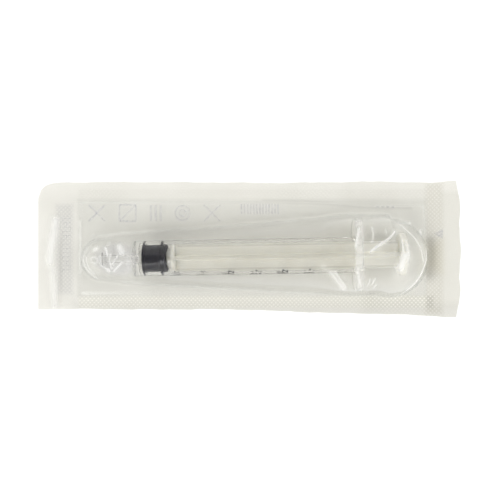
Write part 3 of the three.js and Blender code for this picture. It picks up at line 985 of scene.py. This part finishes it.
def tent(x, y):
    """The film drawn down beside the syringe, in a straight-sided tent with a foot line."""
    along, across = in_axis(x, y)
    foot = table(TENT_FOOT, along)
    top = table(TENT_TOP, along)
    inside = smoothstep(along, TIP_DOME["x"] - 1.0, TIP_DOME["x"] + 3) * (along < END_DOME["x"])
    share = np.clip(np.abs(across) / foot, 0, 1)
    square = table(TENT_SQUARENESS, along)
    return inside * top * (1 - share**square) ** (1 / square)


def pocket_inside(x, y):
    """How far a place is inside the pocket's edge, and below 0 outside it."""
    high = np.interp(x, [POCKET_LEFT, POCKET_RIGHT], [POCKET_HIGH, POCKET_HIGH_RIGHT])
    return np.minimum.reduce([x - POCKET_LEFT, POCKET_RIGHT - x, high - y, y - POCKET_LOW])


# Folds in the film: half width, height, painted light (a painted highlight, and below 0 painted
# shade) and the points it runs through.
FOLDS = (
    # The thumb plate's end of the pocket.
    (0.3, 0.45, 0.26, ((44.9, 6.9), (48.2, 3.5), (49.6, 0.9), (50.4, -1.5), (50.7, -3.4))),
    (0.26, 0.35, 0.3, ((51.8, 6.1), (52.4, 1.6), (52.1, -2.4), (50.9, -6))),
    (0.32, 0.5, 0.38, ((52, -2.6), (50.6, -6.6), (48.4, -10.4), (45.2, -13.4))),
    (0.34, 0.45, 0.36, ((34.9, -0.4), (37.2, 1.4), (39.9, 3), (42.1, 5.4))),
    (0.4, 0.35, 0.26, ((44.4, 7.9), (48.5, 8.1))),
    (0.28, 0.3, 0.2, ((35.4, 6.4), (35.7, 4.9), (35.2, 2.3))),
    (0.24, 0.25, 0.12, ((39.5, 5.9), (39.5, 4.4))),
    (0.22, 0.25, 0.16, ((34.9, -8.5), (34.3, -10.5))),
    (0.22, 0.25, 0.2, ((36.2, -8.4), (35.6, -9.9))),
    (0.22, 0.25, 0.15, ((36.9, -10.1), (36, -11.1))),
    (0.2, 0.3, 0.4, ((44.2, 2.9), (44.4, -2.1))),
    (0.2, 0.3, 0.36, ((45.1, 2.6), (45.6, -1.5))),
    (0.2, 0.25, 0.3, ((45.9, 1.5), (46.2, -2.1))),
    (1.25, 0.2, 0.42, ((44.9, -1.6), (43.6, -5))),
    # Painted shade on the end dome, a painted shadow of the dome beyond it, and a painted shadow above
    # the rod.
    (2.2, 0, -0.045, ((47.2, 4.5), (48.9, 0), (47.9, -6))),
    (2.2, 0, -0.085, ((54.9, 2.5), (55.2, -2.5), (54.7, -7))),
    (1, 0, -0.05, ((34.8, 3.9), (42, 4.1))),
    # Painted shade over the lower half of the barrel.
    (2.1, 0, -0.033, ((-19, -5.8), (27, -5))),
    # The finger flange.
    (0.38, 0.25, 0.32, ((31.5, 6.2), (30.6, 1))),
    (0.38, 0.25, 0.28, ((31.1, -5.9), (31.9, -10.1))),
    (0.62, 0.35, 0.2, ((23.4, -6.5), (27.6, -11.5))),
    (0.28, 0.4, 0.24, ((24.6, -6.2), (27.9, -10.8))),
    # The nozzle's end of the pocket.
    (0.28, 0.35, 0.14, ((-47.3, 2.9), (-49.4, -1.5))),
    (0.28, 0.45, 0.28, ((-49.4, -1.5), (-49.8, -3.6), (-48.7, -5.8), (-46.4, -8.6))),
    (0.26, 0.4, 0.22, ((-48.2, -1.9), (-48.2, -4.1), (-47.4, -5.8), (-46.2, -7.3))),
    (0.62, 0.4, 0.28, ((-45.6, 0.1), (-45.2, 0.4))),
    (0.32, 0.4, 0.4, ((-42.6, 0.6), (-41.6, -1.7))),
    (0.28, 0.5, 0.3, ((-40.8, -1.1), (-40.9, -3.6), (-40.5, -5.4))),
    (0.28, 0.45, 0.3, ((-44.1, -1.9), (-43.9, -4.1), (-42.7, -5.1), (-41.4, -6.2))),
    (0.45, 0.3, 0.34, ((-41.8, -5.7), (-41.5, -6.1))),
    (0.85, 0.45, 0.34, ((-38.6, 1.2), (-37.3, -0.8))),
    (0.28, 0.45, 0.24, ((-38.5, -1.7), (-40.1, -4.1))),
    (0.3, 0.5, 0.3, ((-37.2, -3.6), (-40.1, -6.2))),
    (0.32, 0.3, 0.2, ((-42, 2.3), (-42.1, 1.8))),
    (0.4, 0.2, 0.1, ((-35.6, -1.8), (-35.6, -6.3))),
    # Painted shade in the crumpled film over the tip.
    (1, 0, -0.09, ((-42.5, -2.6), (-41.9, -4.6))),
    (1.1, 0, -0.07, ((-39.8, 0.6), (-40.2, -1.8))),
    # Where the tent over the syringe meets the flat of the pocket.
    (0.4, 0.15, 0.06, ((-48, 4.3), (-36.7, 5.2), (-18, 6.4), (2.7, 7.9), (21.4, 9.8), (32.5, 10.4))),
    (0.4, 0.2, 0.1, ((32.5, 10.4), (40.6, 9.8), (45.5, 7.2))),
    (0.4, 0.12, 0.06, ((-38.2, -9.8), (-10, -11.8), (24.4, -13.4))),
    # The edge of the pocket and the loose end's curl, with painted highlights along them and painted
    # shade beside them.
    (0.45, 0.15, 0.14, ((-51.8, 9), (-51.8, -7))),
    (0.3, 0.1, 0.05, ((-51.8, 14.4), (3, 14.9), (28.5, 14.1), (36, 13.2), (52.4, 13.5))),
    (0.3, 0.1, 0.05, ((52.4, 13.5), (53.4, 11), (53.4, -13))),
    (0.55, 0, -0.05, ((4, 14.9), (20, 14.5), (30, 13.6), (40, 12.9), (49, 12.9))),
    (0.6, 0, -0.05, ((-57.8, 9), (-57.9, 1), (-58, -16))),
    (1.3, 0.35, 0.4, ((-59.3, 8.9), (-59.8, 5), (-60.6, 1), (-60.8, -3.5))),
    (1.2, 0.3, 0.27, ((-60.7, -3), (-60, -8), (-59.7, -12), (-59.6, -17))),
)
# A ring fold over the tip, with a painted highlight along it.
RING_FOLD = {"x": -45.7, "y": -3.0, "radius": 0.95, "half_width": 0.24, "height": 0.3, "painted_light": 0.2}


def rounded_line(points):
    """The same run of points with its corners cut twice."""
    points = np.array(points, float)
    for _ in range(2 if len(points) > 2 else 0):
        quarter = (points[1:] - points[:-1]) / 4
        cuts = np.stack([points[:-1] + quarter, points[1:] - quarter], axis=1).reshape(-1, 2)
        points = np.concatenate([points[:1], cuts, points[-1:]])
    return points


def distance_to(line, x, y):
    """How far each grid point is from a run of points."""
    nearest = np.full_like(x, np.inf)
    for (x0, y0), (x1, y1) in zip(line[:-1], line[1:]):
        run_x, run_y = x1 - x0, y1 - y0
        share = np.clip(((x - x0) * run_x + (y - y0) * run_y) / (run_x**2 + run_y**2), 0, 1)
        nearest = np.minimum(nearest, np.hypot(x - x0 - share * run_x, y - y0 - share * run_y))
    return nearest


def folds(x, y):
    """The height that the folds add to the film, and their painted highlights and painted shade."""
    height, painted_light, dim = np.zeros_like(x), np.zeros_like(x), np.zeros_like(x)
    away = np.abs(np.hypot(x - RING_FOLD["x"], y - RING_FOLD["y"]) - RING_FOLD["radius"])
    ridges = [(away, RING_FOLD["half_width"], RING_FOLD["height"], RING_FOLD["painted_light"])]
    for half_width, rise, highlight_and_shade, points in FOLDS:
        ridges.append((distance_to(rounded_line(points), x, y), half_width, rise, highlight_and_shade))
    for away, half_width, rise, highlight_and_shade in ridges:
        ridge = np.exp(-((away / half_width) ** 2))
        height = np.maximum(height, rise * ridge)
        painted_light = np.maximum(painted_light, highlight_and_shade * ridge)
        dim = np.minimum(dim, highlight_and_shade * ridge)
    return height, painted_light, dim


def crumple(x, y, seed, facets, tilt, spread, highlight_and_shade):
    """Flat facets that meet in creases, as the upper skin of tilted planes, and each facet's painted
    light.
    """
    draw = np.random.default_rng(seed)
    skin = np.full_like(x, -1e3)
    painted_light = np.zeros_like(x)
    for _ in range(facets):
        heading = draw.uniform(0, 2 * math.pi)
        slope = tilt * draw.uniform(0.5, 1)
        centre = draw.uniform(-spread, spread, 2)
        plane = slope * ((x - centre[0]) * math.cos(heading) + (y - centre[1]) * math.sin(heading))
        painted_light = np.where(plane > skin, draw.uniform(*highlight_and_shade), painted_light)
        skin = np.maximum(skin, plane)
    return skin, painted_light


def wander(x, y, seed, size, pitch):
    """Slow uneven waves over the film."""
    draw = np.random.default_rng(seed)
    total = np.zeros_like(x)
    for _ in range(WAVES_EACH):
        heading = draw.uniform(0, math.pi)
        rate = 2 * math.pi / (pitch * draw.uniform(0.6, 1.6))
        phase = draw.uniform(0, 2 * math.pi)
        total += np.sin(rate * (x * math.cos(heading) + y * math.sin(heading)) + phase)
    return size * total / WAVES_EACH


SEAL_RELIEF = 0.05
POCKET_LIFT = 0.45
CURL_HEIGHT = 0.9
RELAX_STEPS = 8
# Slow waves over the pocket: the seed of their random draw, their height and their pitch.
WAVES = ((11, 0.28, 9.0), (3, 0.10, 4.0))
WAVES_EACH = 7
# The crumpled patch over the tip. Its facets are taken down by drop and kept between low and high.
CRUMPLE = {"x": TIP_DOME["x"] + 1.5, "y": TIP_DOME["y"], "full": 3.6, "none": 5.4}
# Facet painted light is drawn from the last range: painted shade below 0, faint painted highlight above.
FACETS = {"seed": 5, "facets": 9, "tilt": 0.45, "spread": 1.5, "highlight_and_shade": (-0.09, 0.03)}
FACET_DROP, FACET_LOW, FACET_HIGH = 0.6, -1.5, 1.2
# How much painted highlight the film has over the flange, how much painted shade over the tip's
# dome, and how much grey layer over the nozzle, partly crumpled milkiness and partly painted shade.
FLANGE_HIGHLIGHT = 0.05
DOME_DIM = 0.02
NOZZLE_VEIL_SHADE = 0.19
NOZZLE_STRETCH = 1.3
# Each of those is full within one distance and gone at another.
FLANGE_ALONG, FLANGE_ASIDE = (1.2, 2.0), (11.0, 12.0)
DOME_NEAR, NOZZLE_NEAR = (5.0, 8.0), (3.4, 6.0)
# The loose end's curl: where it starts and is full, left of the middle, and its wave across.
CURL_REACH = (59.4, 62.5)
CURL_MEAN, CURL_WAVE, CURL_RATE, CURL_PHASE = 0.55, 0.45, 0.22, 0.6


def seal_relief(x, y):
    """The crossed ridges that the sealing bars left in the film."""
    ridges = 0.5 + 0.5 * np.sin(x * 2 * math.pi / HATCH_PITCH) * np.sin(y * 2 * math.pi / HATCH_PITCH)
    total = np.zeros_like(x)
    for low, high, _, _ in SEAL_BANDS:
        edge = np.minimum.reduce([x - low[0], high[0] - x, y - low[1], high[1] - y])
        total = np.maximum(total, smoothstep(edge, 0, 0.5) * ridges)
    return SEAL_RELIEF * total


def relaxed(height, lowest):
    """The heights evened out as drawn film evens out, but never below lowest."""
    for _ in range(RELAX_STEPS):
        beside = height[:-2, 1:-1] + height[2:, 1:-1] + height[1:-1, :-2] + height[1:-1, 2:]
        height = height.copy()
        height[1:-1, 1:-1] = beside / 4
        height = np.maximum(height, lowest)
    return height


def formed_height(x, y, crumpling):
    """The film as it was formed and then drawn over the syringe, before its small folds."""
    floor = FILM_FLAT + POCKET_LIFT * smoothstep(pocket_inside(x, y), 0, 1.0)
    floor = floor + CURL_HEIGHT * unsealed_curl(x, y)
    shape = np.maximum.reduce([floor, dome(x, y, TIP_DOME), dome(x, y, END_DOME), tent(x, y)])
    inside = smoothstep(pocket_inside(x, y), 0.3, 3.0)
    shape = shape + crumpling + inside * sum(wander(x, y, *wave) for wave in WAVES)
    solid = syringe_top(x, y)
    solid = np.where(solid > 0, solid + SYRINGE_CLEAR, 0)
    return relaxed(np.maximum(shape, solid), np.maximum(solid, floor))


def film_shape(x, y):
    """The height of the film's underside, and its marks for the material."""
    crumple_x, crumple_y = x - CRUMPLE["x"], y - CRUMPLE["y"]
    from_crumple = np.hypot(crumple_x, crumple_y)
    crumpled = near(from_crumple, CRUMPLE["full"], CRUMPLE["none"])
    facets, facet_light_and_shade = crumple(crumple_x, crumple_y, **FACETS)
    height = formed_height(x, y, crumpled * np.clip(facets - FACET_DROP, FACET_LOW, FACET_HIGH))
    fold_height, fold_highlight, fold_dim = folds(x, y)
    height = np.minimum(height + fold_height + seal_relief(x, y), FILM_TOP - FILM_THICK)
    along, across = in_axis(x, y)
    from_flange = np.abs(along - (FLANGE_FRONT + FLANGE_REAR) / 2)
    over_flange = near(from_flange, *FLANGE_ALONG) * near(np.abs(across), *FLANGE_ASIDE)
    from_nozzle = np.hypot((along - (TIP_END + SHOULDER) / 2) / NOZZLE_STRETCH, across)
    # Painted highlights from the folds, facets and flange, and painted shade from the folds, facets and
    # dome.
    painted_light = np.maximum(fold_highlight, crumpled * facet_light_and_shade + FLANGE_HIGHLIGHT * over_flange)
    painted_light = painted_light + fold_dim - DOME_DIM * near(from_crumple, *DOME_NEAR)
    # The grey layer over the nozzle is partly painted shade.
    return height, (("painted_light", painted_light), ("veil_shade", NOZZLE_VEIL_SHADE * near(from_nozzle, *NOZZLE_NEAR)))


def unsealed_curl(x, y):
    """The loose end of the film past the tip-end seal, which curls up in a soft wave."""
    return smoothstep(-x, *CURL_REACH) * (CURL_MEAN + CURL_WAVE * np.sin(y * CURL_RATE + CURL_PHASE))


def film_skin(name, x, y, clear):
    height, marks = film_shape(x, y)
    return skin_object(name, x, y, height, height + FILM_THICK, clear, marks)


def film():
    """The clear film: the formed sheet that peels off, and the end that stays bonded."""
    clear = film_material()
    pocket = film_skin("film_pocket", *outline_grid(PEEL_LINE + 0.05, CELL), clear)
    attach(pocket, "film")
    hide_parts("film_web")
    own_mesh(pocket)
    seal = film_skin("film_end", *end_grid(), clear)
    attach(seal, "pouch")
    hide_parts("film_end_seal")


# ---- Print on the pouch ----

PRINT_ROW_Y = 11.3
PRINT_THICK = 0.02
PRINT_ROW = ((-46.8, "cross"), (-37.4, "square"), (-28.8, "bars"), (-20.6, "ring"), (-11.6, "cross"))
PRINT_SIZE = 2.5
PRINT_LINE = 0.55
PRINT_GAP = 1.5
# Runs of equal bars: the first one's two ends, its width, the step to the next and how many.
BAR_RUNS = (
    ((-2.6, 11.0), (-2.6, 14.0), PRINT_LINE, (0.933, 0), 13),
    ((38.6, 13.2), (39.5, 13.2), 0.6, (PRINT_GAP, 0), 4),
    ((-57.2, 9.6), (-54.8, 9.6), 0.18, (0, -1.3), 13),
    ((-57.2, 9.6), (-57.2, 8.69), 0.18, (0, -3.9), 5),
    ((-56.0, 8.3), (-56.0, 7.39), 0.18, (0, -3.9), 4),
    ((-54.8, 7.0), (-54.8, 6.09), 0.18, (0, -3.9), 4),
)
OPENING_ARROW = ((59.0, 6.6), (59.0, 3.3), (56.2, 5.0))


def slab(outline):
    """A thin flat mark with the given outline."""
    points, faces = prism(outline, 0, PRINT_THICK)
    return points[:, (1, 2, 0)], faces


def bar_mark(start, end, width):
    """A thin flat bar between two places."""
    (x0, y0), (x1, y1) = start, end
    half = width / 2 / math.hypot(x1 - x0, y1 - y0)
    nx, ny = (y0 - y1) * half, (x1 - x0) * half
    return slab(((x0 - nx, y0 - ny), (x1 - nx, y1 - ny), (x1 + nx, y1 + ny), (x0 + nx, y0 + ny)))


def ring_mark(x, y, radius, sides=40):
    """A thin flat ring."""
    corners = bar_section(radius - PRINT_LINE, radius, PRINT_THICK)
    rings = []
    for angle in np.arange(sides) * (2 * math.pi / sides):
        rings.append([(x + r * math.cos(angle), y + r * math.sin(angle), z) for r, z in corners])
    return lofted(rings, closed=True)


def symbol(kind, x, y):
    """One plain mark of the printed row: a cross, a struck square, three bars or a double ring."""
    left, right, low, high = x - PRINT_SIZE, x + PRINT_SIZE, y - PRINT_SIZE, y + PRINT_SIZE
    if kind == "ring":
        return [ring_mark(x, y, PRINT_SIZE), ring_mark(x, y, PRINT_SIZE / 2)]
    if kind == "bars":
        places = (x - PRINT_GAP, x, x + PRINT_GAP)
        return [bar_mark((place, low), (place, high), 1.3 * PRINT_LINE) for place in places]
    rising = bar_mark((left, low), (right, high), PRINT_LINE)
    if kind == "cross":
        return [rising, bar_mark((left, high), (right, low), PRINT_LINE)]
    corners = ((left, low), (right, low), (right, high), (left, high))
    return [rising, *[bar_mark(corners[k], corners[(k + 1) % 4], PRINT_LINE) for k in range(4)]]


def paper_print():
    """Generic marks in pale ink: a row of plain symbols, a block of bars and an opening arrow."""
    parts = []
    for x, kind in PRINT_ROW:
        parts += symbol(kind, x, PRINT_ROW_Y)
    for start, end, width, step, count in BAR_RUNS:
        for places in (np.array([start, end]) + k * np.array(step) for k in range(count)):
            parts.append(bar_mark(*places, width))
    parts.append(slab(OPENING_ARROW))
    points, faces = merged([(p + (0, 0, PAPER_FACE + PAPER_CLEAR), f) for p, f in parts])
    made = new_object("paper_print", points, faces, ink_material("print_ink", (0.50, 0.50, 0.68), 0.06))
    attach(made, "pouch")


# ---- Paper ----


def paper():
    """The paper web, flat on the floor under everything else."""
    x, y = outline_grid(POUCH_LEFT, PAPER_CELL)
    made = skin_object("paper_sheet", x, y, 0 * x, 0 * x + PAPER_FACE, paper_material())
    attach(made, "pouch")
    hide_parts("paper_web")


def floor():
    points = [(x, y, 0) for x, y in ((-1, -1), (1, -1), (1, 1), (-1, 1))]
    made = new_object("floor", np.array(points) * FLOOR_HALF, [(0, 1, 2, 3)], floor_material())
    made.location.z = -0.02 * MM


camera()
studio()
floor()
barrel()
stopper()
rod()
scale()
paper()
paper_print()
film()
